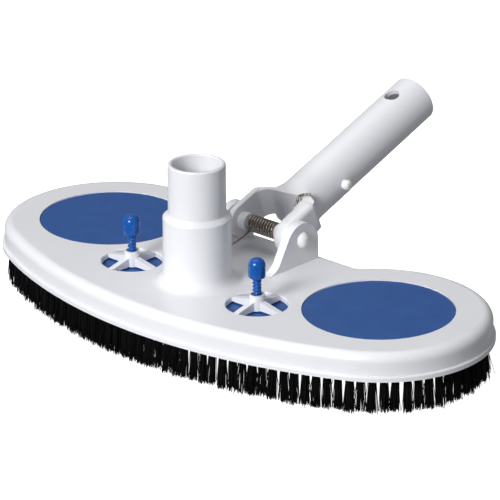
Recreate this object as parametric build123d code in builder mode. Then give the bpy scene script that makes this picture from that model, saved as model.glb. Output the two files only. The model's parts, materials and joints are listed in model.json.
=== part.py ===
"""Manual pool vacuum head: weighted brush head with two suction valves and a sprung, tilting pole handle.

Millimetres, +Z up.  X runs along the head, -Y is its front edge, the handle points back towards +Y.
z = 0 is the level of the bristle tips, x = 0 the head's middle, y = 0 the middle of the overall depth.
"""

from build123d import *
import os
from math import cos, radians, sin, sqrt

os.makedirs("parts", exist_ok=True)

# ---------------------------------------------------------------- driving dimensions

# Head, seen from above: two round lobes joined by a long front arc and a straight rear edge
lobe_x = 101.1  # lobe centres to the middle
lobe_behind_spigot = 35.6
lobe_radius = 63.7  # out to the edge of the lip
front_reach = 51.3  # lip's front edge ahead of the spigot's axis
rear_reach = 76.0  # lip's straight rear edge behind the spigot's axis
notch_radius = 6.0  # inside corner between a lobe and the rear edge

# Head, in section
bristle_drop = 21.2  # strip's underside down to the bristle tips
strip_recess = 0.6  # strip's underside above the rim
rim_height = 15.3  # rim of the skirt down from the deck's top
wall = 3.0
lip_proud = 1.5
lip_height = 2.8
lip_rounding = 0.8
deck_rounding = 5.3
inner_rounding = 2.5

# Hose spigot, 32 mm over a 38 mm collar
spigot_radius = 16.0
collar_radius = 19.0
bore_radius = 13.5
spigot_height = 68.8
collar_height = 37.8
cone_height = 2.4
spigot_base_rounding = 7.0
spigot_step_rounding = 1.0
spigot_rim_rounding = 1.1
spigot_mouth_rounding = 0.9

# Hinge between the ears
pivot_behind_spigot = 56.4
pivot_height = 14.4  # above the deck's top
ear_inner = 22.0
ear_outer = 27.2
ear_radius = 13.0
ear_centre_forward = 0.2
ear_centre_drop = 3.2
ear_slope = 59.6  # front edge's angle to the deck
ear_foot_radius = 11.0
pin_radius = 3.0
pin_head_radius = 4.65
pin_head_height = 3.0
pin_end = 2.0  # past the ear, inside the cap
pin_chamfer = 0.6
running_gap = 0.05

# Handle, measured along its own axis from the pivot
tilt = 20.3
axis_drop = 2.8  # tube's axis below the pivot
handle_length = 134.0
tube_radius = 14.1
tang_radius = 13.9
tang_start = 57.8
tube_inner = 11.4
tube_floor = 29.0
neck_from = 22.0  # flat-topped up to here, then easing into the round tube
neck_length = 11.0
neck_half_width = 13.4
neck_half_height = 11.7
neck_corner = 4.5
arm_outer = 21.8
left_arm_inner = 18.0
right_arm_inner = 12.4
left_arm_end = 18.0
right_arm_end = 21.0
left_arm_rounding = 0.8
right_arm_rounding = 3.0
arm_half_width = 9.7
shoulder_from = 12.0
left_shoulder_inset = 0.25
left_shoulder_end = 19.1
right_shoulder_end = 21.5
shoulder_rounding = 3.0
left_shoulder_inner = (-9.6, 23.6)
right_shoulder_inner = (10.0, 27.5)
right_shoulder_inset = 1.2
shoulder_half_height = 8.9
pocket_left = 19.8
pocket_right = 23.1
pocket_left_rounding = 7.5
pocket_right_rounding = 4.0
boss_radius = 5.1
left_boss_end = -12.8
right_boss_end = 9.3
cross_hole_at = 117.0
cross_hole_radius = 4.5
handle_rim_rounding = 0.9

# Snap buttons and their leaf spring
button_at = 52.2
button_radius = 2.92
button_hole_radius = 3.0
button_proud = 3.8
button_flange_radius = 4.0
button_flange = 1.0
button_inner = 9.4
button_rounding = 1.8
leaf = 0.7
leaf_width = 7.0
leaf_bend_at = 42.5
leaf_end_at = 56.8

# Torsion spring round the hinge pin
coil_radius = 4.15
wire_radius = 0.75
coil_left = -11.7
coil_right = 7.9
coil_turns = 10
keeper_y = 34.0  # behind the spigot's axis
keeper_x = -12.6
keeper_length = 6.0
keeper_width = 5.0
keeper_height = 6.0
keeper_slot_floor = 2.6

# Covers and ballast in the lobes
cover_radius = 41.7
cover_gap = 0.25
cover_thickness = 2.0
cover_below_deck = 0.4
cover_rounding = 0.5
ballast_radius = 38.9
ballast_thickness = 6.4
ballast_play = 0.6
ballast_chamfer = 0.6
ballast_hole = 5.2
pocket_radius = 39.2
cup_radius = 44.6
cup_floor = 2.5
post_radius = 4.5
screw_radius = 1.5
screw_play = 0.3
screw_head_radius = 3.2
screw_head_height = 2.0
screw_head_rounding = 0.9

# Suction valves
valve_x = 47.4
valve_ahead_of_spigot = 3.2
port_radius = 17.1
port_rounding = 0.8
spoke_width = 3.4
spoke_rise = 2.4  # at the hub, above the deck
spoke_drop = 0.5  # at the port, below the deck
hub_radius = 4.35
hub_top = 6.0
hub_bottom = -2.8
hub_bore = 2.52
mouth_radius = 3.25
mouth_depth = 1.5
stem_radius = 2.45
neck_radius = 1.9
knob_bottom = 15.6
knob_top = 26.8
knob_radius = 4.75
knob_dome_rounding = 3.6
knob_draft = 0.2
knob_foot_height = 1.2
knob_foot_inset = 0.9
valve_disc_radius = 20.3
valve_disc_thickness = 1.6
valve_disc_top = -3.6
valve_hub_depth = 3.55
valve_hub_radius = 5.0
valve_rib = 1.4
seal_inner = 17.7
seal_outer = 19.5
seal_groove = 0.8
seal_gap = 0.05
seal_rounding = 0.4
washer_radius = 3.6
washer_thickness = 0.6
valve_screw_radius = 1.0
valve_screw_head_radius = 2.2
valve_screw_head_height = 1.6

# Brush
strip_thickness = 5.0
strip_outer_inset = 4.75
strip_inner_inset = 13.1
tuft_inset = 7.1
tuft_radius = 1.9
tuft_count = 97
tuft_hole_depth = 3.0
brush_end_x = 85.0
band_segments = 16
lug_inset = 12.5
lug_radius = 4.6
lug_post_radius = 4.0
lug_screw_head_radius = 2.9
lug_count = 9

# ---------------------------------------------------------------- positions worked out from them

deck_top = bristle_drop - strip_recess + rim_height
rim_z = deck_top - rim_height
deck_under = deck_top - wall
lean = radians(tilt)
handle_reach = pivot_behind_spigot + handle_length * cos(lean) + (axis_drop + tang_radius) * sin(lean)
spigot_y = (front_reach - handle_reach) / 2
lobe_y = spigot_y + lobe_behind_spigot
rear_y = spigot_y + rear_reach
valve_y = spigot_y - valve_ahead_of_spigot
pivot_y = spigot_y + pivot_behind_spigot
pivot_z = deck_top + pivot_height

# The front arc touches both lobes, which fixes its radius
lobe_ahead = lobe_behind_spigot + front_reach
front_radius = (lobe_x**2 + lobe_ahead**2 - lobe_radius**2) / (2 * (lobe_ahead - lobe_radius))
front_centre_y = spigot_y - front_reach + front_radius

# Handle planes through the pivot: its plan (X, along) and its side (along, up)
pivot = Vector(0, pivot_y, pivot_z)
along = Vector(0, cos(lean), sin(lean))
upward = Vector(0, -sin(lean), cos(lean))
handle_plan = Plane(origin=pivot, x_dir=(1, 0, 0), z_dir=upward)
handle_side = Plane(origin=pivot, x_dir=along, z_dir=(1, 0, 0))
along_axis = Axis(pivot, along)


def across_handle(distance):
    """Plane square to the tube, centred on the tube's axis, at a distance from the pivot."""
    return Plane(origin=on_handle(0, distance, -axis_drop), x_dir=(1, 0, 0), z_dir=along)


def on_handle(x, distance, height):
    """Point given by x, distance along the handle and height over the pivot, square to the handle."""
    return pivot + Vector(x, 0, 0) + along * distance + upward * height


def neck_section(share):
    """Section of the tube's lower end: a flat-topped rounded rectangle at 0, a circle at 1."""
    ease = share**2 * (3 - 2 * share)
    crown = 0.1
    middle = neck_corner * sqrt(0.5)
    flat = [
        (neck_half_width, 0),
        (neck_half_width - crown, neck_half_height - neck_corner),
        (neck_half_width - neck_corner + middle, neck_half_height - neck_corner + middle),
        (neck_half_width - neck_corner, neck_half_height - crown),
        (0, neck_half_height),
    ]
    circle = [(tube_radius * cos(radians(a)), tube_radius * sin(radians(a))) for a in (0, 23, 35, 47, 90)]
    side, low, corner, high, top = [
        Vector(*point) + (Vector(*target) - Vector(*point)) * ease for point, target in zip(flat, circle)
    ]
    with BuildSketch() as section:
        with BuildLine():
            for x_sign, y_sign in ((1, 1), (-1, -1)):
                turned = [(x_sign * p.X, y_sign * p.Y) for p in (low, corner, high)]
                mirrored = [(-x_sign * p.X, y_sign * p.Y) for p in (high, corner, low)]
                ThreePointArc((x_sign * low.X, -y_sign * low.Y), (x_sign * side.X, 0), turned[0])
                ThreePointArc(*turned)
                ThreePointArc(turned[2], (0, y_sign * top.Y), mirrored[0])
                ThreePointArc(*mirrored)
        make_face()
    return section.sketch


def tangent_point(inset):
    """Where the front arc meets the right lobe, both drawn inside the lip's edge."""
    towards_lobe = Vector(lobe_x, lobe_y - front_centre_y).normalized()
    return Vector(0, front_centre_y) + towards_lobe * (front_radius - inset)


def head_outline(inset):
    """Plan of the head, drawn inside the lip's edge."""
    touch = tangent_point(inset)
    lobe = lobe_radius - inset
    rear = rear_y - inset
    notch_x = lobe_x - sqrt(lobe**2 - (rear - lobe_y) ** 2)
    with BuildSketch() as plan:
        with BuildLine():
            ThreePointArc((-touch.X, touch.Y), (0, front_centre_y - front_radius + inset), (touch.X, touch.Y))
            ThreePointArc((touch.X, touch.Y), (lobe_x + lobe, lobe_y), (notch_x, rear))
            Line((notch_x, rear), (-notch_x, rear))
            ThreePointArc((-notch_x, rear), (-lobe_x - lobe, lobe_y), (-touch.X, touch.Y))
        make_face()
        notches = plan.vertices().filter_by(lambda corner: abs(corner.Y - rear) < 0.01)
        fillet(notches, notch_radius + inset)
    return plan.sketch


def brush_row(inset):
    """Line that follows the front and both lobes, and stops behind each lobe."""
    touch = tangent_point(inset)
    row = lobe_radius - inset
    end_y = lobe_y + sqrt(row**2 - (lobe_x - brush_end_x) ** 2)
    with BuildLine() as line:
        ThreePointArc((-brush_end_x, end_y), (-lobe_x - row, lobe_y), (-touch.X, touch.Y))
        ThreePointArc((-touch.X, touch.Y), (0, front_centre_y - front_radius + inset), (touch.X, touch.Y))
        ThreePointArc((touch.X, touch.Y), (lobe_x + row, lobe_y), (brush_end_x, end_y))
    return line.wire()


tuft_row = brush_row(tuft_inset)
tuft_margin = (tuft_radius + 0.6) / tuft_row.length
tuft_points = [
    tuft_row @ (tuft_margin + (1 - 2 * tuft_margin) * i / (tuft_count - 1)) for i in range(tuft_count)
]
lug_row = brush_row(lug_inset)
lug_points = [lug_row @ ((i + 0.5) / lug_count) for i in range(lug_count)]
strip_z = rim_z + strip_recess
strip_top = strip_z + strip_thickness

# ---------------------------------------------------------------- deck shell

cup_ledge = deck_top - cover_below_deck - cover_thickness
cup_inside = cup_ledge - ballast_thickness - ballast_play
cup_under = cup_inside - cup_floor

with BuildPart() as deck_shell:
    # Deck and skirt, hollow underneath
    with BuildSketch(Plane.XY.offset(rim_z)):
        add(head_outline(lip_proud))
    extrude(amount=rim_height)
    fillet(deck_shell.faces().sort_by(Axis.Z)[-1].edges(), deck_rounding)
    with BuildSketch(Plane.XY.offset(rim_z)):
        add(head_outline(0))
    extrude(amount=lip_height)
    lip_top = deck_shell.faces().filter_by(Plane.XY).filter_by_position(
        Axis.Z, rim_z + lip_height - 0.1, rim_z + lip_height + 0.1
    )
    fillet(lip_top.sort_by(Axis.Z)[-1].outer_wire().edges(), lip_rounding)
    with BuildSketch(Plane.XY.offset(rim_z)):
        add(head_outline(lip_proud + wall))
    extrude(amount=rim_height - wall, mode=Mode.SUBTRACT)
    ceiling = deck_shell.faces().filter_by_position(Axis.Z, deck_under - 0.1, deck_under + 0.1)
    fillet(ceiling.sort_by(SortBy.AREA)[-1].outer_wire().edges(), inner_rounding)

    # Cups for the ballast, with a ledge for each cover
    with BuildSketch(Plane.XY.offset(cup_under)):
        with Locations((-lobe_x, lobe_y), (lobe_x, lobe_y)):
            Circle(cup_radius)
    extrude(amount=deck_under - cup_under + 0.5)
    with BuildSketch(Plane.XY.offset(deck_top)):
        with Locations((-lobe_x, lobe_y), (lobe_x, lobe_y)):
            Circle(cover_radius + cover_gap)
    extrude(amount=cup_ledge - deck_top, mode=Mode.SUBTRACT)
    with BuildSketch(Plane.XY.offset(cup_ledge)):
        with Locations((-lobe_x, lobe_y), (lobe_x, lobe_y)):
            Circle(pocket_radius)
    extrude(amount=cup_inside - cup_ledge, mode=Mode.SUBTRACT)
    with Locations((-lobe_x, lobe_y, cup_inside), (lobe_x, lobe_y, cup_inside)):
        Hole(screw_radius + screw_play, depth=cup_floor + 1)

    # Posts that the brush strip is screwed to
    with BuildSketch(Plane.XY.offset(strip_top)):
        with Locations(*[(p.X, p.Y) for p in lug_points]):
            Circle(lug_post_radius)
    extrude(amount=deck_under - strip_top + 0.5)
    with Locations(*[(p.X, p.Y, strip_top) for p in lug_points]):
        with Locations(Rotation(180, 0, 0)):
            Hole(screw_radius, depth=deck_under - strip_top - 0.5)

    # Valve ports, each crossed by four spokes that rise to a hub
    with BuildSketch(Plane.XY.offset(deck_top)):
        with Locations((-valve_x, valve_y), (valve_x, valve_y)):
            Circle(port_radius)
    extrude(amount=-wall, mode=Mode.SUBTRACT)
    port_edges = deck_shell.edges().filter_by(GeomType.CIRCLE).filter_by_position(
        Axis.Z, deck_top - 0.01, deck_top + 0.01
    )
    fillet(port_edges.filter_by(lambda edge: abs(edge.radius - port_radius) < 0.01), port_rounding)
    spoke_reach = port_radius + 0.6
    spoke_bottom = hub_bottom + 0.2
    for side in (-1, 1):
        for across in (Vector(1, 0, 0), Vector(0, 1, 0)):
            hub_base = (side * valve_x, valve_y, deck_top)
            with BuildSketch(Plane(hub_base, x_dir=across, z_dir=across.cross(Vector(0, 0, 1)))):
                with BuildLine():
                    Polyline(
                        (-spoke_reach, spoke_bottom),
                        (-spoke_reach, -spoke_drop),
                        (-hub_radius, spoke_rise),
                        (hub_radius, spoke_rise),
                        (spoke_reach, -spoke_drop),
                        (spoke_reach, spoke_bottom),
                        close=True,
                    )
                make_face()
            extrude(amount=spoke_width / 2, both=True)
    with BuildSketch(Plane.XY.offset(deck_top + hub_bottom)):
        with Locations((-valve_x, valve_y), (valve_x, valve_y)):
            Circle(hub_radius)
    extrude(amount=hub_top - hub_bottom)
    with BuildSketch(Plane.XY.offset(deck_top + hub_bottom)):
        with Locations((-valve_x, valve_y), (valve_x, valve_y)):
            Circle(hub_bore)
    extrude(amount=hub_top - hub_bottom, mode=Mode.SUBTRACT)
    with BuildSketch(Plane.XY.offset(deck_top + hub_top)):
        with Locations((-valve_x, valve_y), (valve_x, valve_y)):
            Circle(mouth_radius)
    extrude(amount=-mouth_depth, mode=Mode.SUBTRACT)

    # Hose spigot
    spigot_foot = collar_radius + spigot_base_rounding + 2
    with BuildSketch(Plane((0, spigot_y, deck_top), x_dir=(1, 0, 0), z_dir=(0, -1, 0))):
        with BuildLine():
            FilletPolyline(
                (spigot_foot, 0),
                (collar_radius, 0),
                (collar_radius, collar_height),
                (spigot_radius, collar_height + cone_height),
                (spigot_radius, spigot_height),
                (bore_radius, spigot_height),
                (bore_radius, -wall / 2),
                radius=(
                    spigot_base_rounding,
                    spigot_step_rounding,
                    spigot_step_rounding,
                    spigot_rim_rounding,
                    spigot_mouth_rounding,
                ),
            )
            Polyline(
                (bore_radius, -wall / 2),
                (spigot_foot, -wall / 2),
                (spigot_foot, 0),
            )
        make_face()
    revolve(axis=Axis((0, spigot_y, 0), (0, 0, 1)))
    with BuildSketch(Plane.XY.offset(deck_top - wall)):
        with Locations((0, spigot_y)):
            Circle(bore_radius)
    extrude(amount=wall, mode=Mode.SUBTRACT)

    # Ears of the hinge
    for side_x in (-ear_outer, ear_inner):
        with BuildSketch(Plane((side_x, pivot_y, pivot_z), x_dir=(0, 1, 0), z_dir=(1, 0, 0))):
            with BuildLine():
                crown = CenterArc((-ear_centre_forward, -ear_centre_drop), ear_radius, 0, 90 + ear_slope)
                rise = pivot_height - ear_centre_drop + ear_radius * cos(radians(ear_slope))
                foot_rise = ear_foot_radius * (1 - cos(radians(ear_slope)))
                slope_length = (rise - foot_rise) / sin(radians(ear_slope))
                slope = Line(crown @ 1, crown @ 1 + (crown % 1) * slope_length)
                foot = JernArc(slope @ 1, slope % 1, ear_foot_radius, -ear_slope)
                Polyline(
                    foot @ 1,
                    ((foot @ 1).X, -pivot_height - wall / 2),
                    ((crown @ 0).X, -pivot_height - wall / 2),
                    crown @ 0,
                )
            make_face()
        extrude(amount=ear_outer - ear_inner)
    with BuildSketch(Plane((0, pivot_y, pivot_z), x_dir=(0, 1, 0), z_dir=(1, 0, 0))):
        Circle(pin_radius)
    extrude(amount=ear_outer + 1, both=True, mode=Mode.SUBTRACT)

    # Keeper for the spring's lower leg
    with BuildSketch(Plane.XY.offset(deck_top - 1)):
        with Locations((keeper_x, spigot_y + keeper_y)):
            RectangleRounded(keeper_length, keeper_width, 1.5)
    extrude(amount=keeper_height + 1)
    with BuildSketch(Plane.XY.offset(deck_top + keeper_slot_floor)):
        with Locations((keeper_x + 0.3, spigot_y + keeper_y + 1.2)):
            Rectangle(2 * wire_radius + 1.2, keeper_width + 2)
    extrude(amount=keeper_height, mode=Mode.SUBTRACT)

deck_shell.part.label = "deck_shell"
export_step(deck_shell.part, "parts/deck_shell.step")

# ---------------------------------------------------------------- covers, ballast and their screws

for side, name in ((-1, "left"), (1, "right")):
    with BuildPart() as cover_disc:
        with BuildSketch(Plane((side * lobe_x, lobe_y, cup_ledge))):
            Circle(cover_radius)
        extrude(amount=cover_thickness)
        fillet(cover_disc.faces().sort_by(Axis.Z)[-1].edges(), cover_rounding)
        with BuildSketch(Plane((side * lobe_x, lobe_y, cup_ledge))):
            Circle(post_radius)
        extrude(amount=cup_inside - cup_ledge)
        with BuildSketch(Plane((side * lobe_x, lobe_y, cup_inside))):
            Circle(screw_radius)
        extrude(amount=6, mode=Mode.SUBTRACT)
    cover_disc.part.label = f"{name}_cover_disc"
    export_step(cover_disc.part, f"parts/{name}_cover_disc.step")

    with BuildPart() as ballast:
        with BuildSketch(Plane((side * lobe_x, lobe_y, cup_inside))):
            Circle(ballast_radius)
            Circle(ballast_hole, mode=Mode.SUBTRACT)
        extrude(amount=ballast_thickness)
        chamfer(ballast.edges().filter_by(GeomType.CIRCLE), ballast_chamfer)
    ballast.part.label = f"{name}_ballast"
    export_step(ballast.part, f"parts/{name}_ballast.step")

with BuildPart() as cover_screws:
    with BuildSketch(Plane.XY.offset(cup_under)):
        with Locations((-lobe_x, lobe_y), (lobe_x, lobe_y)):
            Circle(screw_head_radius)
    extrude(amount=-screw_head_height)
    fillet(cover_screws.faces().filter_by(Plane.XY).group_by(Axis.Z)[0].edges(), screw_head_rounding)
    with BuildSketch(Plane.XY.offset(cup_under)):
        with Locations((-lobe_x, lobe_y), (lobe_x, lobe_y)):
            Circle(screw_radius)
    extrude(amount=cup_floor + 5.5)
cover_screws.part.label = "cover_screws"
export_step(cover_screws.part, "parts/cover_screws.step")

# ---------------------------------------------------------------- suction valves

valve_hub_z = deck_top + valve_disc_top - valve_hub_depth
washer_z = valve_hub_z - running_gap - washer_thickness

for side, name in ((-1, "left"), (1, "right")):
    valve_x_here = side * valve_x

    # Knob, threaded stem and the neck that the valve disc hangs on, turned about one axis
    with BuildPart() as valve_knob:
        with BuildSketch(Plane((valve_x_here, valve_y, deck_top), x_dir=(1, 0, 0), z_dir=(0, -1, 0))):
            with BuildLine():
                FilletPolyline(
                    (0, knob_top),
                    (knob_radius - knob_draft, knob_top),
                    (knob_radius, knob_bottom + knob_foot_height),
                    (knob_radius - knob_foot_inset, knob_bottom),
                    (stem_radius, knob_bottom),
                    (stem_radius, valve_disc_top + running_gap),
                    radius=(knob_dome_rounding, 0.6, 0.4, 0.3),
                )
                Polyline(
                    (stem_radius, valve_disc_top + running_gap),
                    (neck_radius, valve_disc_top + running_gap),
                    (neck_radius, valve_disc_top - valve_hub_depth - running_gap),
                    (0, valve_disc_top - valve_hub_depth - running_gap),
                    (0, knob_top),
                )
            make_face()
        revolve(axis=Axis((valve_x_here, valve_y, 0), (0, 0, 1)))
        with BuildSketch(Plane((valve_x_here, valve_y, valve_hub_z - running_gap))):
            Circle(valve_screw_radius)
        extrude(amount=5, mode=Mode.SUBTRACT)
    valve_knob.part.label = f"{name}_valve_knob"
    export_step(valve_knob.part, f"parts/{name}_valve_knob.step")

    with BuildPart() as valve_disc:
        with BuildSketch(Plane((valve_x_here, valve_y, deck_top + valve_disc_top))):
            Circle(valve_disc_radius)
        extrude(amount=-valve_disc_thickness)
        with BuildSketch(Plane((valve_x_here, valve_y, valve_hub_z))):
            Circle(valve_hub_radius)
        extrude(amount=valve_hub_depth)
        with BuildSketch(Plane((valve_x_here, valve_y, valve_hub_z + 1))):
            Rectangle(2 * valve_disc_radius - 3, valve_rib)
            Rectangle(valve_rib, 2 * valve_disc_radius - 3)
        extrude(amount=valve_hub_depth - 1.5)
        with BuildSketch(Plane((valve_x_here, valve_y, deck_top + valve_disc_top))):
            Circle(seal_outer)
            Circle(seal_inner, mode=Mode.SUBTRACT)
        extrude(amount=-seal_groove, mode=Mode.SUBTRACT)
        with BuildSketch(Plane((valve_x_here, valve_y, valve_hub_z))):
            Circle(neck_radius + running_gap)
        extrude(amount=valve_hub_depth, mode=Mode.SUBTRACT)
    valve_disc.part.label = f"{name}_valve_disc"
    export_step(valve_disc.part, f"parts/{name}_valve_disc.step")

    with BuildPart() as valve_seal:
        with BuildSketch(Plane((valve_x_here, valve_y, deck_top + valve_disc_top - seal_groove))):
            Circle(seal_outer)
            Circle(seal_inner, mode=Mode.SUBTRACT)
        extrude(amount=seal_groove - wall - valve_disc_top - seal_gap)
        fillet(valve_seal.faces().sort_by(Axis.Z)[-1].edges(), seal_rounding)
    valve_seal.part.label = f"{name}_valve_seal"
    export_step(valve_seal.part, f"parts/{name}_valve_seal.step")

    with BuildPart() as valve_washer:
        with BuildSketch(Plane((valve_x_here, valve_y, washer_z))):
            Circle(washer_radius)
            Circle(valve_screw_radius, mode=Mode.SUBTRACT)
        extrude(amount=washer_thickness)
    valve_washer.part.label = f"{name}_valve_washer"
    export_step(valve_washer.part, f"parts/{name}_valve_washer.step")

    with BuildPart() as valve_screw:
        with BuildSketch(Plane((valve_x_here, valve_y, washer_z))):
            Circle(valve_screw_head_radius)
        extrude(amount=-valve_screw_head_height)
        fillet(valve_screw.faces().sort_by(Axis.Z)[0].edges(), 0.7)
        with BuildSketch(Plane((valve_x_here, valve_y, washer_z))):
            Circle(valve_screw_radius)
        extrude(amount=washer_thickness + 4.5)
    valve_screw.part.label = f"{name}_valve_screw"
    export_step(valve_screw.part, f"parts/{name}_valve_screw.step")

# ---------------------------------------------------------------- handle

with BuildPart() as handle:
    # Two arms with rounded edges, the right one thicker because it backs the spring
    for start, end, reach, rounding in (
        (-arm_outer, -left_arm_inner, left_arm_end, left_arm_rounding),
        (right_arm_inner, arm_outer, right_arm_end, right_arm_rounding),
    ):
        with BuildSketch(handle_side.offset(start)):
            Circle(arm_half_width)
            with Locations((reach / 2, 0)):
                Rectangle(reach, 2 * arm_half_width)
        extrude(amount=end - start)
        arm = handle.solids().sort_by(Axis.X)[0 if end < 0 else -1]
        fillet(arm.edges(), rounding)

    # Shoulders that run in from the arms to the tube
    with BuildSketch(handle_plan) as shoulders:
        with BuildLine():
            Polyline(
                (left_shoulder_inset - arm_outer, shoulder_from),
                (left_shoulder_inset - arm_outer, left_shoulder_end),
                left_shoulder_inner,
                right_shoulder_inner,
                (arm_outer - right_shoulder_inset, right_shoulder_end),
                (arm_outer - right_shoulder_inset, shoulder_from),
                close=True,
            )
        make_face()
        corners = shoulders.vertices().sort_by(Axis.X)
        fillet([corners[0:2].sort_by(Axis.Y)[-1], corners[-2:].sort_by(Axis.Y)[-1]], shoulder_rounding)
    extrude(amount=shoulder_half_height, both=True)

    # Tube: flat-topped between the shoulders, then round, and a little slimmer where the pole slides on
    with BuildSketch(across_handle(shoulder_from)):
        add(neck_section(0))
    extrude(amount=neck_from - shoulder_from)
    for share in (0, 0.25, 0.5, 0.75, 1):
        with BuildSketch(across_handle(neck_from + neck_length * share)):
            add(neck_section(share))
    loft()
    with BuildSketch(across_handle(neck_from + neck_length)):
        Circle(tube_radius)
    extrude(amount=tang_start - neck_from - neck_length)
    with BuildSketch(across_handle(tang_start)):
        Circle(tang_radius)
    extrude(amount=handle_length - tang_start)
    fillet(handle.faces().sort_by(along_axis)[-1].edges(), handle_rim_rounding)

    # Pocket between the arms, its end wall a little askew
    with BuildSketch(handle_plan) as pocket:
        with BuildLine():
            Polyline(
                (-left_arm_inner, -15),
                (-left_arm_inner, pocket_left),
                (right_arm_inner, pocket_right),
                (right_arm_inner, -15),
                close=True,
            )
        make_face()
        fillet(pocket.vertices().sort_by(Axis.Y)[2], pocket_left_rounding)
        fillet(pocket.vertices().sort_by(Axis.Y)[-1], pocket_right_rounding)
    extrude(amount=2 * tube_radius, both=True, mode=Mode.SUBTRACT)

    # Bosses that keep the spring in the middle, and the bore for the pin
    for root, end in ((-left_arm_inner - 0.5, left_boss_end), (right_arm_inner + 0.5, right_boss_end)):
        with BuildSketch(handle_side.offset(root)):
            Circle(boss_radius)
        extrude(amount=end - root)
    with BuildSketch(handle_side):
        Circle(pin_radius + running_gap)
    extrude(amount=arm_outer + 1, both=True, mode=Mode.SUBTRACT)

    # Hollow, button holes and the cross hole near the open end
    with BuildSketch(across_handle(tube_floor)):
        Circle(tube_inner)
    extrude(amount=handle_length - tube_floor, mode=Mode.SUBTRACT)
    with BuildSketch(handle_side):
        with Locations((button_at, -axis_drop)):
            Circle(button_hole_radius)
    extrude(amount=2 * tube_radius, both=True, mode=Mode.SUBTRACT)
    with BuildSketch(handle_plan):
        with Locations((0, cross_hole_at)):
            Circle(cross_hole_radius)
    extrude(amount=2 * tube_radius, both=True, mode=Mode.SUBTRACT)
handle.part.label = "handle"
export_step(handle.part, "parts/handle.step")

# ---------------------------------------------------------------- hinge pin and its cap

with BuildPart() as hinge_pin:
    with BuildSketch(Plane((0, pivot_y, pivot_z), x_dir=(1, 0, 0), z_dir=(0, -1, 0))):
        with BuildLine():
            Polyline(
                (ear_outer, pin_head_radius),
                (ear_outer, pin_radius),
                (pin_chamfer - pin_end - ear_outer, pin_radius),
                (-ear_outer - pin_end, pin_radius - pin_chamfer),
                (-ear_outer - pin_end, 0),
                (ear_outer + pin_head_height, 0),
            )
            ThreePointArc(
                (ear_outer + pin_head_height, 0),
                (ear_outer + 0.72 * pin_head_height, 0.66 * pin_head_radius),
                (ear_outer, pin_head_radius),
            )
        make_face()
    revolve(axis=Axis((0, pivot_y, pivot_z), (1, 0, 0)))
hinge_pin.part.label = "hinge_pin"
export_step(hinge_pin.part, "parts/hinge_pin.step")

with BuildPart() as hinge_pin_cap:
    with BuildSketch(Plane((0, pivot_y, pivot_z), x_dir=(1, 0, 0), z_dir=(0, -1, 0))):
        with BuildLine():
            Polyline(
                (-ear_outer, pin_head_radius),
                (-ear_outer, pin_radius),
                (pin_chamfer - pin_end - ear_outer, pin_radius),
                (-ear_outer - pin_end, pin_radius - pin_chamfer),
                (-ear_outer - pin_end, 0),
                (-ear_outer - pin_head_height, 0),
            )
            ThreePointArc(
                (-ear_outer - pin_head_height, 0),
                (-ear_outer - 0.72 * pin_head_height, 0.66 * pin_head_radius),
                (-ear_outer, pin_head_radius),
            )
        make_face()
    revolve(axis=Axis((0, pivot_y, pivot_z), (1, 0, 0)))
hinge_pin_cap.part.label = "hinge_pin_cap"
export_step(hinge_pin_cap.part, "parts/hinge_pin_cap.step")

# ---------------------------------------------------------------- torsion spring

# The coil starts and ends underneath, where each leg leaves along its tangent
lower_start = 287.5
upper_start = 320.0
coil_angle = upper_start - lower_start + 360 * coil_turns
coil_pitch = (coil_right - coil_left) / coil_angle * 360


def on_coil(x, angle):
    """Point on the coil's centre line at an angle from +Y towards +Z."""
    turn = radians(angle)
    return Vector(x, pivot_y + coil_radius * cos(turn), pivot_z + coil_radius * sin(turn))


lower_leg = [
    on_coil(coil_left, lower_start),
    Vector(keeper_x, spigot_y + keeper_y - 1.0, deck_top + keeper_slot_floor + 1.1),
]
upper_leg = [
    on_coil(coil_right, upper_start),
    on_handle(9.5, 16.4, 5.4),
    on_handle(9.5, 20.6, 10.4),
    on_handle(11.4, 24.1, 9.9),
    on_handle(14.3, 24.9, 9.9),
]

with BuildPart() as torsion_spring:
    with BuildLine() as coil_line:
        Helix(coil_pitch, coil_right - coil_left, coil_radius)
    coil_frame = Plane(
        (coil_left, pivot_y, pivot_z),
        x_dir=(0, cos(radians(lower_start)), sin(radians(lower_start))),
        z_dir=(1, 0, 0),
    )
    coil_path = coil_frame.from_local_coords(coil_line.wire())
    with BuildSketch(Plane(origin=coil_path @ 0, z_dir=coil_path % 0)):
        Circle(wire_radius)
    sweep(path=coil_path, is_frenet=True)
    for points in (lower_leg, upper_leg):
        for start, end in zip(points, points[1:]):
            with BuildSketch(Plane(origin=start, z_dir=end - start)):
                Circle(wire_radius)
            extrude(amount=(end - start).length)
        with Locations(*points):
            Sphere(wire_radius)
torsion_spring.part.label = "torsion_spring"
export_step(torsion_spring.part, "parts/torsion_spring.step")

# ---------------------------------------------------------------- snap buttons and their leaf spring

for side, name in ((-1, "left"), (1, "right")):
    button_face = Plane(on_handle(side * button_inner, button_at, -axis_drop), x_dir=along, z_dir=(side, 0, 0))
    with BuildPart() as snap_button:
        with BuildSketch(button_face):
            Circle(button_flange_radius)
        extrude(amount=button_flange)
        with BuildSketch(button_face):
            Circle(button_radius)
        extrude(amount=tube_radius + button_proud - button_inner)
        fillet(snap_button.faces().sort_by(Axis.X)[-1 if side > 0 else 0].edges(), button_rounding)
    snap_button.part.label = f"{name}_snap_button"
    export_step(snap_button.part, f"parts/{name}_snap_button.step")

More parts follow.
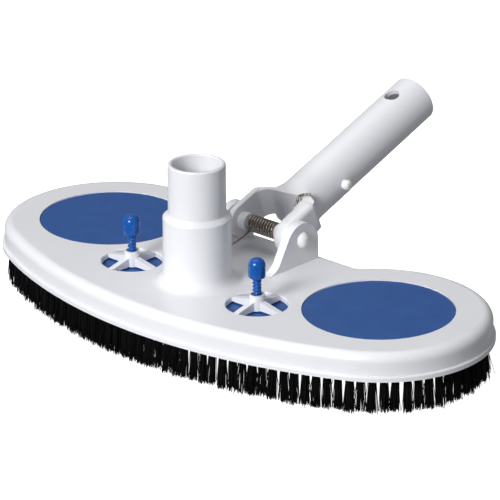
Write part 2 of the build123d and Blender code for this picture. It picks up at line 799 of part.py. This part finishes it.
with BuildPart() as snap_spring:
    with BuildSketch(handle_plan.offset(-axis_drop)) as hairpin:
        bend_radius = button_inner - leaf / 2
        with BuildLine():
            Line((-bend_radius, leaf_end_at), (-bend_radius, leaf_bend_at))
            CenterArc((0, leaf_bend_at), bend_radius, 180, 180)
            Line((bend_radius, leaf_bend_at), (bend_radius, leaf_end_at))
        trace(line_width=leaf)
    extrude(amount=leaf_width / 2, both=True)
snap_spring.part.label = "snap_spring"
export_step(snap_spring.part, "parts/snap_spring.step")

# ---------------------------------------------------------------- brush

with BuildPart() as brush_strip:
    with BuildSketch(Plane.XY.offset(strip_z)):
        add(head_outline(strip_outer_inset))
        add(head_outline(strip_inner_inset), mode=Mode.SUBTRACT)
        with Locations((0, lobe_y + lobe_radius)):
            Rectangle(2 * brush_end_x, 2 * lobe_radius, mode=Mode.SUBTRACT)
    extrude(amount=strip_thickness)
    with BuildSketch(Plane.XY.offset(strip_z)):
        with Locations(*[(p.X, p.Y) for p in lug_points]):
            Circle(lug_radius)
    extrude(amount=strip_thickness)
    with BuildSketch(Plane.XY.offset(strip_z)):
        with Locations(*[(p.X, p.Y) for p in lug_points]):
            Circle(screw_radius + screw_play)
    extrude(amount=strip_thickness, mode=Mode.SUBTRACT)
    with BuildSketch(Plane.XY.offset(strip_z)):
        with Locations(*[(p.X, p.Y) for p in tuft_points]):
            Circle(tuft_radius)
    extrude(amount=tuft_hole_depth, mode=Mode.SUBTRACT)
brush_strip.part.label = "brush_strip"
export_step(brush_strip.part, "parts/brush_strip.step")

with BuildPart() as brush_screws:
    with BuildSketch(Plane.XY.offset(strip_z)):
        with Locations(*[(p.X, p.Y) for p in lug_points]):
            Circle(lug_screw_head_radius)
    extrude(amount=-screw_head_height)
    fillet(brush_screws.faces().filter_by(Plane.XY).group_by(Axis.Z)[0].edges(), screw_head_rounding)
    with BuildSketch(Plane.XY.offset(strip_z)):
        with Locations(*[(p.X, p.Y) for p in lug_points]):
            Circle(screw_radius)
    extrude(amount=strip_thickness + 4)
brush_screws.part.label = "brush_screws"
export_step(brush_screws.part, "parts/brush_screws.step")

with BuildPart() as bristle_band:
    for i in range(band_segments):
        first = (i + 0.01) / band_segments
        last = (i + 0.99) / band_segments
        with BuildSketch():
            with BuildLine():
                ThreePointArc(tuft_row @ first, tuft_row @ ((first + last) / 2), tuft_row @ last)
            trace(line_width=2 * tuft_radius)
        extrude(amount=bristle_drop)
bristle_band.part.label = "bristle_band"
export_step(bristle_band.part, "parts/bristle_band.step")
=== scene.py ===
"""Manual pool vacuum head: the looks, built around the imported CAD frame.

Metres, in the frame's own axes: X along the head, -Y its front edge, the handle back towards +Y, +Z up.
"""

import json
import random
from math import cos, pi, radians, sin, sqrt, tau

import bpy
from mathutils import Matrix, Vector


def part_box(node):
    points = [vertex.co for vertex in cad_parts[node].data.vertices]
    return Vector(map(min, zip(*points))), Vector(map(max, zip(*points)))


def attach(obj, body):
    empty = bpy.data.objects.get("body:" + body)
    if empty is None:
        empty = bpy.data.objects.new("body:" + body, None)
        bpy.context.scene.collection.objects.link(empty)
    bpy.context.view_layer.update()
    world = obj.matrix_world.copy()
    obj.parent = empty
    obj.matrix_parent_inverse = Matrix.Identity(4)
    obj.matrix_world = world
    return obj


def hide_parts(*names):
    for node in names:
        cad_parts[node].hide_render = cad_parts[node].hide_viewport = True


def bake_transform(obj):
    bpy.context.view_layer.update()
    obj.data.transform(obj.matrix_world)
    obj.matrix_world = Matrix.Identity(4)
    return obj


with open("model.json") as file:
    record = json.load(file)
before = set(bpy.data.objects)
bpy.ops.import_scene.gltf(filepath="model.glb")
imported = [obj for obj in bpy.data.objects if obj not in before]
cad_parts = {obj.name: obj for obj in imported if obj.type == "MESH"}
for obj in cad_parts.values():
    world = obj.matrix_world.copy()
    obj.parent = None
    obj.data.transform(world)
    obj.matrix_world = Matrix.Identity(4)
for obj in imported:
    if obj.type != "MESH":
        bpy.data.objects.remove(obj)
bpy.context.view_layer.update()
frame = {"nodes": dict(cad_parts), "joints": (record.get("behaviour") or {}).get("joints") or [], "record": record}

MM = 0.001

# ---------------------------------------------------------------- places taken from the frame

mounts = {mount["name"]: mount for mount in frame["record"]["mounts"]}
joints = {joint["name"]: joint for joint in frame["joints"]}
spigot = Vector(mounts["hose_spigot"]["pos_m"])
pivot = Vector(joints["handle_tilt"]["pos_m"])
along = Vector(mounts["pole_tang"]["axis"])
across = Vector((1, 0, 0))
upward = across.cross(along)
strip_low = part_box("brush_strip")[0]
band_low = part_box("bristle_band")[0]
disc_low, disc_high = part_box("right_cover_disc")
deck_low, deck_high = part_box("deck_shell")
deck_top = joints["right_knob_turn"]["pos_m"][2]
lobe_centre = (disc_low + disc_high) / 2

# ---------------------------------------------------------------- materials


class Finish:
    """A material: one Principled shader and the procedural nodes that feed it."""

    def __init__(self, name, **constants):
        self.material = bpy.data.materials.new(name)
        self.material.use_nodes = True
        self.nodes = self.material.node_tree.nodes
        self.links = self.material.node_tree.links
        self.nodes.clear()
        output = self.nodes.new("ShaderNodeOutputMaterial")
        self.shader = self.nodes.new("ShaderNodeBsdfPrincipled")
        self.links.new(self.shader.outputs["BSDF"], output.inputs["Surface"])
        self.place = self.nodes.new("ShaderNodeTexCoord").outputs["Object"]
        for socket, value in constants.items():
            self.shader.inputs[socket.replace("_", " ")].default_value = value

    def noise(self, grain, detail=2.0, stretch=(1, 1, 1)):
        """Noise with blotches about grain metres across, longer along an axis where stretch is below 1."""
        mapping = self.nodes.new("ShaderNodeMapping")
        mapping.inputs["Scale"].default_value = stretch
        self.links.new(self.place, mapping.inputs["Vector"])
        texture = self.nodes.new("ShaderNodeTexNoise")
        texture.inputs["Scale"].default_value = 1 / grain
        texture.inputs["Detail"].default_value = detail
        self.links.new(mapping.outputs["Vector"], texture.inputs["Vector"])
        return texture.outputs["Fac"]

    def spread(self, value, low, high):
        """The middle of a noise's range, stretched between low and high."""
        node = self.nodes.new("ShaderNodeMapRange")
        node.inputs["From Min"].default_value = 0.3
        node.inputs["From Max"].default_value = 0.7
        node.inputs["To Min"].default_value = low
        node.inputs["To Max"].default_value = high
        self.links.new(value, node.inputs["Value"])
        return node.outputs["Result"]

    def colour(self, value, dark, light):
        """Base colour that wanders between two colours."""
        mix = self.nodes.new("ShaderNodeMix")
        mix.data_type = "RGBA"
        mix.inputs["A"].default_value = (*dark, 1)
        mix.inputs["B"].default_value = (*light, 1)
        self.links.new(self.spread(value, 0.0, 1.0), mix.inputs["Factor"])
        self.links.new(mix.outputs["Result"], self.shader.inputs["Base Color"])
        return self

    def roughness(self, value, low, high):
        """Roughness that wanders between two values."""
        self.links.new(self.spread(value, low, high), self.shader.inputs["Roughness"])
        return self

    def bump(self, value, depth):
        """Relief of about depth metres; a second call adds to the first."""
        node = self.nodes.new("ShaderNodeBump")
        node.inputs["Strength"].default_value = 1.0
        node.inputs["Distance"].default_value = depth
        self.links.new(value, node.inputs["Height"])
        normal = self.shader.inputs["Normal"]
        if normal.is_linked:
            self.links.new(normal.links[0].from_socket, node.inputs["Normal"])
        self.links.new(node.outputs["Normal"], normal)
        return self


def white_abs():
    finish = Finish("white_abs", Specular_IOR_Level=0.5, Coat_Weight=0.1, Coat_Roughness=0.15)
    finish.colour(finish.noise(40 * MM), (0.79, 0.797, 0.83), (0.815, 0.82, 0.85))
    finish.roughness(finish.noise(6 * MM), 0.3, 0.38)
    finish.bump(finish.noise(22 * MM), 0.008 * MM)
    return finish.bump(finish.noise(0.9 * MM), 0.003 * MM).material


def pin_nylon():
    finish = Finish(
        "pin_nylon",
        Specular_IOR_Level=0.5,
        Subsurface_Weight=0.5,
        Subsurface_Scale=1 * MM,
        Subsurface_Radius=(1, 1, 1),
    )
    finish.colour(finish.noise(4 * MM), (0.86, 0.865, 0.85), (0.9, 0.905, 0.89))
    finish.roughness(finish.noise(2 * MM), 0.24, 0.34)
    return finish.bump(finish.noise(0.5 * MM), 0.004 * MM).material


def blue_cover():
    finish = Finish("blue_cover", Specular_IOR_Level=0.5)
    finish.colour(finish.noise(12 * MM), (0.012, 0.075, 0.285), (0.015, 0.088, 0.32))
    finish.roughness(finish.noise(30 * MM), 0.42, 0.5)
    return finish.bump(finish.noise(0.5 * MM, detail=3), 0.003 * MM).material


def blue_knob():
    finish = Finish("blue_knob", Specular_IOR_Level=0.4, Coat_Weight=0.2, Coat_Roughness=0.06)
    finish.colour(finish.noise(3 * MM), (0.0, 0.07, 0.31), (0.0, 0.09, 0.4))
    finish.roughness(finish.noise(1.5 * MM), 0.2, 0.3)
    return finish.bump(finish.noise(0.6 * MM), 0.004 * MM).material


def ballast_steel():
    finish = Finish("ballast_steel", Metallic=0.6)
    finish.colour(finish.noise(5 * MM), (0.12, 0.12, 0.125), (0.2, 0.2, 0.2))
    finish.roughness(finish.noise(2 * MM), 0.45, 0.65)
    return finish.bump(finish.noise(0.8 * MM, detail=4), 0.03 * MM).material


def stainless():
    finish = Finish("stainless", Metallic=1.0)
    finish.colour(finish.noise(1.2 * MM), (0.55, 0.55, 0.56), (0.66, 0.66, 0.66))
    finish.roughness(finish.noise(0.8 * MM), 0.22, 0.34)
    return finish.bump(finish.noise(0.3 * MM, stretch=(1, 0.1, 1)), 0.004 * MM).material


def spring_steel():
    finish = Finish("spring_steel", Metallic=1.0)
    finish.colour(finish.noise(1.5 * MM), (0.28, 0.24, 0.205), (0.38, 0.33, 0.28))
    finish.roughness(finish.noise(2.5 * MM), 0.24, 0.3)
    return finish.bump(finish.noise(0.6 * MM), 0.002 * MM).material


def seal_rubber():
    finish = Finish("seal_rubber", Specular_IOR_Level=0.3)
    finish.colour(finish.noise(2 * MM), (0.012, 0.012, 0.012), (0.03, 0.03, 0.03))
    finish.roughness(finish.noise(1 * MM), 0.6, 0.8)
    return finish.bump(finish.noise(0.3 * MM), 0.01 * MM).material


def brush_backing():
    finish = Finish("brush_backing", Specular_IOR_Level=0.4)
    finish.colour(finish.noise(6 * MM), (0.008, 0.008, 0.009), (0.018, 0.018, 0.02))
    finish.roughness(finish.noise(2 * MM), 0.4, 0.55)
    return finish.bump(finish.noise(0.5 * MM), 0.01 * MM).material


def bristles():
    finish = Finish("bristles", Specular_IOR_Level=0.12)
    strands = finish.noise(0.8 * MM, stretch=(1, 1, 0.15))
    finish.colour(strands, (0.002, 0.002, 0.002), (0.006, 0.006, 0.007))
    finish.roughness(finish.noise(1 * MM), 0.42, 0.58)
    return finish.bump(finish.noise(0.2 * MM, stretch=(1, 1, 0.1)), 0.01 * MM).material


# Each finish is named after the material slot that it covers
FINISHES = {
    make.__name__: make()
    for make in (
        white_abs,
        pin_nylon,
        blue_cover,
        blue_knob,
        ballast_steel,
        stainless,
        spring_steel,
        seal_rubber,
        brush_backing,
        bristles,
    )
}

for part in frame["record"]["subparts"]:
    mesh = frame["nodes"][part["node"]].data
    mesh.materials.clear()
    mesh.materials.append(FINISHES[part["material_slot"]])

# ---------------------------------------------------------------- mesh helpers


def add_piece(name, points, faces, slot, body, stands_for=()):
    """A smooth-shaded mesh that rides on a CAD body and, where it names nodes, stands for them."""
    mesh = bpy.data.meshes.new(name)
    mesh.from_pydata([tuple(p) for p in points], [], faces)
    mesh.validate()
    mesh.shade_smooth()
    mesh.materials.append(FINISHES[slot])
    piece = bpy.data.objects.new(name, mesh)
    bpy.context.scene.collection.objects.link(piece)
    if stands_for:
        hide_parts(*stands_for)
    if body:
        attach(piece, body)
    return piece


def grid_faces(rows, columns, first=0):
    """Quads between rows of points, wrapped round, where first is the first point's index."""
    faces = []
    for i in range(rows - 1):
        for j in range(columns):
            a = first + i * columns + j
            b = first + i * columns + (j + 1) % columns
            faces.append((a, b, b + columns, a + columns))
    return faces


# ---------------------------------------------------------------- bristles

TUFT_COUNT = 97
BRISTLES_PER_TUFT = 72
TUFT_RADIUS = 1.75 * MM
TUFT_WANDER = 0.35  # how far a tuft's tips stray to one side, in mm
TUFT_OUTWARD = 1.2 * MM  # how far a tuft's tips stand outside its root
TUFT_SHORTER = (0, 0, 0.3, 0.6, 1.2)  # wear of one tuft, in mm
ROW_INSET = 7.1 * MM  # from the lip's edge to the tufts' row
ROW_MARGIN = 2.5 * MM  # from the row's end to the first tuft
ROW_END_X = 85 * MM
ROOT_DEPTH = 2.6 * MM  # inside the strip
BRISTLE_RADIUS = 0.24 * MM
BRISTLE_TAPER = 0.35
BRISTLE_SIDES = 4
BRISTLE_KNOTS = (0.0, 0.35, 0.72, 1.0)
BRISTLE_BOW = 0.18  # in mm
SPLAY = (0.3, 0.95)  # a tip's extra distance from its tuft's middle, as a share of the root's
TIP_SPREAD = 0.8  # in half millimetres
STRAY_SPREAD = 3.2  # the same, for a stray bristle
STRAY_ODDS = 0.09
TIP_WEAR = 1.3  # in mm
TIP_HIGHEST = 5 * MM


def row_arcs():
    """The tufts' row as three arcs, left to right: (centre, radius, start angle, sweep)."""
    lobe_radius = deck_high.x - lobe_centre.x - ROW_INSET
    front_edge = deck_low.y + ROW_INSET
    reach = lobe_centre.y - front_edge
    front_radius = (lobe_centre.x**2 + reach**2 - lobe_radius**2) / (2 * (reach - lobe_radius))
    front_centre = Vector((0, front_edge + front_radius))
    right = Vector((lobe_centre.x, lobe_centre.y))
    left = Vector((-lobe_centre.x, lobe_centre.y))
    touch = (right - front_centre).angle_signed(Vector((0, -1)))
    end_x = ROW_END_X - right.x
    rear_angle = pi - Vector((-1, 0)).angle(Vector((end_x, sqrt(lobe_radius**2 - end_x**2))))
    turn = rear_angle + pi / 2 - abs(touch)
    return [
        (left, lobe_radius, pi - rear_angle, turn),
        (front_centre, front_radius, -pi / 2 - abs(touch), 2 * abs(touch)),
        (right, lobe_radius, -pi / 2 + abs(touch), turn),
    ]


def on_row(arcs, share):
    """Point of the row and its outward direction, a share of the way along it."""
    lengths = [radius * sweep for _, radius, _, sweep in arcs]
    travelled = share * sum(lengths)
    for (centre, radius, start, _), length in zip(arcs, lengths):
        if travelled <= length + 1e-9:
            break
        travelled -= length
    angle = start + travelled / radius
    outward = Vector((cos(angle), sin(angle)))
    return centre + outward * radius, outward


def bristle(points, faces, root, tip, bow):
    """Adds one tapered bristle from root to tip, bowed sideways by the vector bow."""
    first = len(points)
    for knot in BRISTLE_KNOTS:
        middle = root.lerp(tip, knot) + bow * 4 * knot * (1 - knot)
        radius = BRISTLE_RADIUS * (1 - BRISTLE_TAPER * knot)
        for side in range(BRISTLE_SIDES):
            turn = tau * side / BRISTLE_SIDES + first
            points.append(middle + Vector((cos(turn), sin(turn), 0)) * radius)
    faces += grid_faces(len(BRISTLE_KNOTS), BRISTLE_SIDES, first=first)
    last = first + BRISTLE_SIDES * (len(BRISTLE_KNOTS) - 1)
    faces.append(tuple(range(last, last + BRISTLE_SIDES)))


def make_bristles():
    """Splayed tufts of black bristles, a little worn and uneven at their tips."""
    chance = random.Random(7)
    points, faces = [], []
    arcs = row_arcs()
    margin = ROW_MARGIN / sum(radius * sweep for _, radius, _, sweep in arcs)
    root_z = strip_low.z + ROOT_DEPTH
    for i in range(TUFT_COUNT):
        middle, outward = on_row(arcs, margin + (1 - 2 * margin) * i / (TUFT_COUNT - 1))
        tuft_lean = Vector((chance.gauss(0, TUFT_WANDER), chance.gauss(0, TUFT_WANDER), 0)) * MM
        tuft_lean += Vector((*outward, 0)) * TUFT_OUTWARD
        tuft_short = chance.choice(TUFT_SHORTER)
        for j in range(BRISTLES_PER_TUFT):
            share = sqrt((j + 0.5) / BRISTLES_PER_TUFT)
            angle = j * pi * (3 - sqrt(5))
            offset = Vector((cos(angle), sin(angle), 0)) * share * TUFT_RADIUS
            root = Vector((middle.x, middle.y, root_z)) + offset
            splay = offset * chance.uniform(*SPLAY) + tuft_lean
            stray = STRAY_SPREAD if chance.random() < STRAY_ODDS else TIP_SPREAD
            splay += Vector((chance.gauss(0, stray), chance.gauss(0, stray), 0)) * MM * 0.5
            tip_z = band_low.z + (tuft_short + abs(chance.gauss(0, TIP_WEAR))) * MM
            tip = Vector((root.x, root.y, 0)) + splay
            tip.z = min(tip_z, TIP_HIGHEST)
            bow = Vector((chance.gauss(0, BRISTLE_BOW), chance.gauss(0, BRISTLE_BOW), 0)) * MM
            bristle(points, faces, root, tip, bow)
    return add_piece("bristle_tufts", points, faces, "bristles", "head", ["bristle_band"])


make_bristles()

# ---------------------------------------------------------------- valve knobs with their threaded stems

KNOB_RADIUS = 4.75 * MM
KNOB_BOTTOM = 15.6 * MM  # above the deck's top
KNOB_DOME = 3.9 * MM
KNOB_FOOT_TOP = 2.2 * MM
KNOB_FOOT_HEIGHT = 1.2 * MM
KNOB_FOOT_INSET = 0.9 * MM
KNOB_SIDES = 40
STEM_RADIUS = 2.45 * MM
STEM_BEVEL = 0.3 * MM
NECK_RADIUS = 1.9 * MM
SCREW_HOLE_RADIUS = 0.9 * MM
THREAD_DEPTH = 0.55 * MM
THREAD_PITCH = 2.0 * MM
THREAD_CREST = 0.16  # half the crest's width, as a share of the pitch
THREAD_FLANK = 0.2
THREAD_END = -3.5 * MM  # from the deck's top
ROWS_PER_TURN = 12


def knob_profile(top, bottom):
    """Half section of the knob's cap, from the middle of its dome to the stem: (radius, z) pairs."""
    profile = []
    for i in range(9):
        turn = pi / 2 * i / 8
        radius = (KNOB_RADIUS - KNOB_DOME) + KNOB_DOME * sin(turn)
        profile.append((radius, top - KNOB_DOME * (1 - cos(turn))))
    profile.append((KNOB_RADIUS, bottom + KNOB_FOOT_TOP))
    for i in range(7):
        turn = pi / 2 * i / 6
        radius = KNOB_RADIUS - KNOB_FOOT_INSET * (1 - cos(turn))
        profile.append((radius, bottom + KNOB_FOOT_HEIGHT * (1 - sin(turn))))
    profile.append((STEM_RADIUS + STEM_BEVEL, bottom))
    profile.append((STEM_RADIUS, bottom - STEM_BEVEL))
    return profile


def thread_radius(z, angle):
    """Radius of a rounded trapezoid thread."""
    phase = (z / THREAD_PITCH - angle / tau) % 1.0
    valley = max(0.0, min(1.0, (abs(phase - 0.5) - THREAD_CREST) / THREAD_FLANK))
    return STEM_RADIUS - THREAD_DEPTH * valley * valley * (3 - 2 * valley)


def make_knob(side):
    """Domed knob, threaded stem and plain neck, as rings of points about one axis."""
    low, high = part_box(f"{side}_valve_knob")
    axis = Vector(joints[f"{side}_knob_turn"]["pos_m"])
    knob_bottom = deck_top + KNOB_BOTTOM
    turns = [tau * j / KNOB_SIDES for j in range(KNOB_SIDES)]
    points = []

    def ring(z, radii):
        for turn, radius in zip(turns, radii):
            points.append((axis.x + radius * cos(turn), axis.y + radius * sin(turn), z))

    for radius, z in knob_profile(high.z, knob_bottom):
        ring(z, [radius] * KNOB_SIDES)
    start = knob_bottom - 0.5 * MM
    stop = deck_top + THREAD_END
    steps = int((start - stop) / THREAD_PITCH * ROWS_PER_TURN)
    for i in range(steps + 1):
        z = start + (stop - start) * i / steps
        ring(z, [thread_radius(z, turn) for turn in turns])
    for radius, z in ((NECK_RADIUS, stop), (NECK_RADIUS, low.z), (SCREW_HOLE_RADIUS, low.z)):
        ring(z, [radius] * KNOB_SIDES)
    rows = len(points) // KNOB_SIDES
    faces = [tuple(reversed(face)) for face in grid_faces(rows, KNOB_SIDES)]
    faces.append(tuple(range(KNOB_SIDES)))
    faces.append(tuple(reversed(range(len(points) - KNOB_SIDES, len(points)))))
    knob = f"{side}_threaded_knob"
    return add_piece(knob, points, faces, "blue_knob", f"{side}_knob", [f"{side}_valve_knob"])


for valve_side in ("left", "right"):
    make_knob(valve_side)

# ---------------------------------------------------------------- torsion spring

WIRE_RADIUS = 0.75 * MM
COIL_RADIUS = 4.15 * MM
COIL_LEFT = -11.7 * MM
COIL_RIGHT = 7.9 * MM
LOWER_START = radians(287.5)
UPPER_START = radians(320.0)
COIL_TURNS = 10
COIL_STEPS = 40  # in each turn
WIRE_SIDES = 14
KEEPER_X = -12.6 * MM
KEEPER_BEHIND_SPIGOT = 33 * MM
KEEPER_RISE = 3.7 * MM
LEG_BEND = 1.1 * MM


def on_coil(x, angle):
    """Point on the coil's centre line at an angle from +Y towards +Z."""
    return Vector((x, pivot.y + COIL_RADIUS * cos(angle), pivot.z + COIL_RADIUS * sin(angle)))


def on_handle(x, distance, height):
    """Point given by x, distance along the handle and height over the pivot, square to the handle."""
    return pivot + across * x + along * distance + upward * height


def rounded(points, radius, steps=6):
    """The polyline with each inner corner replaced by a smooth bend that starts radius before it."""
    out = [points[0]]
    for before, corner, after in zip(points, points[1:], points[2:]):
        enter = corner + (before - corner).normalized() * min(radius, 0.45 * (before - corner).length)
        leave = corner + (after - corner).normalized() * min(radius, 0.45 * (after - corner).length)
        for i in range(steps + 1):
            t = i / steps
            out.append(enter * (1 - t) ** 2 + corner * 2 * t * (1 - t) + leave * t**2)
    return out + [points[-1]]


def wire_rings(path, radius):
    """Rings along a round wire, each (middle, tangent, radius), shrinking to a dome at both ends."""
    tangents = []
    for i in range(len(path)):
        ahead = path[min(i + 1, len(path) - 1)]
        behind = path[max(i - 1, 0)]
        tangents.append((ahead - behind).normalized())
    dome = []
    for i in range(4):
        turn = pi / 2 * i / 4
        dome.append((radius * cos(turn), max(radius * sin(turn), 0.05 * radius)))
    rings = [(path[0] - tangents[0] * out, tangents[0], size) for out, size in dome]
    rings += [(p, t, radius) for p, t in zip(path, tangents)]
    rings += [(path[-1] + tangents[-1] * out, tangents[-1], size) for out, size in reversed(dome)]
    return rings


def wire(name, path, radius, slot, stands_for):
    """Round wire along a path, with domed ends."""
    points = []
    rings = wire_rings(path, radius)
    normal = rings[0][1].orthogonal().normalized()
    for middle, tangent, size in rings:
        normal = (normal - tangent * normal.dot(tangent)).normalized()
        other = tangent.cross(normal)
        for j in range(WIRE_SIDES):
            turn = tau * j / WIRE_SIDES
            points.append(middle + (normal * cos(turn) + other * sin(turn)) * size)
    faces = grid_faces(len(rings), WIRE_SIDES)
    faces.append(tuple(reversed(range(WIRE_SIDES))))
    faces.append(tuple(range(len(points) - WIRE_SIDES, len(points))))
    return add_piece(name, points, faces, slot, None, stands_for)


def make_torsion_spring():
    """Coil round the pin, one leg down to the deck's keeper, the other hooked over the handle."""
    turn = UPPER_START - LOWER_START + tau * COIL_TURNS
    steps = COIL_STEPS * COIL_TURNS
    coil = [
        on_coil(COIL_LEFT + (COIL_RIGHT - COIL_LEFT) * i / steps, LOWER_START + turn * i / steps)
        for i in range(steps + 1)
    ]
    keeper = Vector((KEEPER_X, spigot.y + KEEPER_BEHIND_SPIGOT, deck_top + KEEPER_RISE))
    hooked_leg = [
        on_coil(COIL_RIGHT, UPPER_START),
        on_handle(9.5 * MM, 16.4 * MM, 5.4 * MM),
        on_handle(9.5 * MM, 20.6 * MM, 10.4 * MM),
        on_handle(11.4 * MM, 24.1 * MM, 9.9 * MM),
        on_handle(14.3 * MM, 24.9 * MM, 9.9 * MM),
    ]
    path = [keeper] + coil + rounded(hooked_leg, LEG_BEND)[1:]
    spring = wire("twisting_spring", path, WIRE_RADIUS, "spring_steel", ["torsion_spring"])
    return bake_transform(spring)


make_torsion_spring()

# ---------------------------------------------------------------- leaf spring behind the snap buttons

AXIS_DROP = 2.8 * MM  # tube's axis below the pivot
LEAF_BEND_AT = 42.5 * MM
LEAF_END_AT = 56.8 * MM
LEAF_BEND_RADIUS = 9.05 * MM
LEAF_THICKNESS = 0.7 * MM
LEAF_WIDTH = 7.0 * MM
LEAF_STEPS = 14


def make_leaf(name, side):
    """Half of the hairpin, from the middle of its bend to its free end."""
    route = []
    for i in range(LEAF_STEPS):
        turn = pi / 2 * (i / LEAF_STEPS - 1)
        distance = LEAF_BEND_AT + LEAF_BEND_RADIUS * sin(turn)
        route.append((LEAF_BEND_RADIUS * cos(turn), distance, cos(turn), sin(turn)))
    for i in range(LEAF_STEPS + 1):
        distance = LEAF_BEND_AT + (LEAF_END_AT - LEAF_BEND_AT) * i / LEAF_STEPS
        route.append((LEAF_BEND_RADIUS, distance, 1, 0))
    points = []
    for x, distance, normal_x, normal_along in route:
        for out, rise in ((1, 1), (1, -1), (-1, -1), (-1, 1)):
            shift = out * LEAF_THICKNESS / 2
            height = rise * LEAF_WIDTH / 2 - AXIS_DROP
            points.append(on_handle(side * (x + normal_x * shift), distance + normal_along * shift, height))
    faces = grid_faces(len(route), 4)
    faces.append((3, 2, 1, 0))
    faces.append(tuple(range(len(points) - 4, len(points))))
    if side > 0:
        faces = [tuple(reversed(face)) for face in faces]
    leaf = add_piece(f"{name}_leaf", points, faces, "stainless", None, ["snap_spring"])
    leaf.data.shade_flat()
    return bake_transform(leaf)


for side, name in ((-1, "left"), (1, "right")):
    make_leaf(name, side)

# ---------------------------------------------------------------- floor, walls, light and camera

STUDIO_HALF = 12.0
STUDIO_HEIGHT = 10.0


def make_studio():
    """Large pale sheet that the head stands on, and pale walls far behind it."""
    floor_z = band_low.z - 0.1 * MM
    corners = ((-1, -1), (1, -1), (1, 1), (-1, 1))
    low = [(x * STUDIO_HALF, y * STUDIO_HALF, floor_z) for x, y in corners]
    high = [(x * STUDIO_HALF, y * STUDIO_HALF, STUDIO_HEIGHT) for x, y in corners]
    finish = Finish("floor_paper", Specular_IOR_Level=0.1)
    finish.shader.inputs["Base Color"].default_value = (0.8, 0.8, 0.8, 1)
    finish.shader.inputs["Roughness"].default_value = 0.9
    finish.shader.inputs["Emission Color"].default_value = (1, 1, 1, 1)
    finish.shader.inputs["Emission Strength"].default_value = 1.0
    for name, points, faces in (
        ("floor", low, [(0, 1, 2, 3)]),
        ("walls", low + high, [(i, i + 4, (i + 1) % 4 + 4, (i + 1) % 4) for i in range(4)]),
    ):
        mesh = bpy.data.meshes.new(name)
        mesh.from_pydata(points, [], faces)
        mesh.materials.append(finish.material)
        sheet = bpy.data.objects.new(name, mesh)
        bpy.context.scene.collection.objects.link(sheet)
        # The paper stays white without lighting the head, and the walls let the sky's light through
        sheet.visible_diffuse = False
        sheet.visible_glossy = False
        sheet.visible_shadow = name == "floor"


LIGHT_AIM_HEIGHT = 30 * MM


def make_light(name, place, size, watts):
    """Square softbox aimed at the head."""
    lamp = bpy.data.lights.new(name, "AREA")
    lamp.shape = "SQUARE"
    lamp.size = size
    lamp.energy = watts
    light = bpy.data.objects.new(name, lamp)
    bpy.context.scene.collection.objects.link(light)
    light.location = place
    aim = Vector((0, 0, LIGHT_AIM_HEIGHT)) - Vector(place)
    light.rotation_euler = aim.to_track_quat("-Z", "Y").to_euler()


def make_sky():
    """Weak, even light from all round."""
    world = bpy.data.worlds.new("studio")
    bpy.context.scene.world = world
    world.use_nodes = True
    sky = world.node_tree.nodes["Background"]
    sky.inputs["Color"].default_value = (0.97, 0.98, 1.0, 1)
    sky.inputs["Strength"].default_value = 0.25


CAMERA_AZIMUTH = radians(42.86)
CAMERA_ELEVATION = radians(21.9)
CAMERA_ROLL = -0.004
CAMERA_DISTANCE = 2.1103
CAMERA_LENS = 275.7
CAMERA_RIGHT = 28.81 * MM
CAMERA_RISE = 16.48 * MM


def make_camera():
    """Long lens from the front right, aimed just above the foot of the spigot."""
    foot = Vector((spigot.x, spigot.y, deck_top))
    back = Vector(
        (
            sin(CAMERA_AZIMUTH) * cos(CAMERA_ELEVATION),
            -cos(CAMERA_AZIMUTH) * cos(CAMERA_ELEVATION),
            sin(CAMERA_ELEVATION),
        )
    )
    level = Vector((cos(CAMERA_AZIMUTH), sin(CAMERA_AZIMUTH), 0))
    rise = back.cross(level)
    right = level * cos(CAMERA_ROLL) + rise * sin(CAMERA_ROLL)
    top = rise * cos(CAMERA_ROLL) - level * sin(CAMERA_ROLL)
    lens = bpy.data.cameras.new("camera")
    lens.lens = CAMERA_LENS
    lens.sensor_width = 36
    lens.clip_end = 20
    camera = bpy.data.objects.new("camera", lens)
    bpy.context.scene.collection.objects.link(camera)
    place = foot + back * CAMERA_DISTANCE + right * CAMERA_RIGHT + top * CAMERA_RISE
    camera.matrix_world = Matrix.Translation(place) @ Matrix((right, top, back)).transposed().to_4x4()
    bpy.context.scene.camera = camera


make_studio()
make_sky()
make_light("key_softbox", place=(0.26, -2.3, 1.3), size=0.9, watts=66)
make_light("top_softbox", place=(-0.6, 0.0, 1.9), size=1.5, watts=9)
make_camera()
bpy.context.scene.view_settings.view_transform = "Standard"
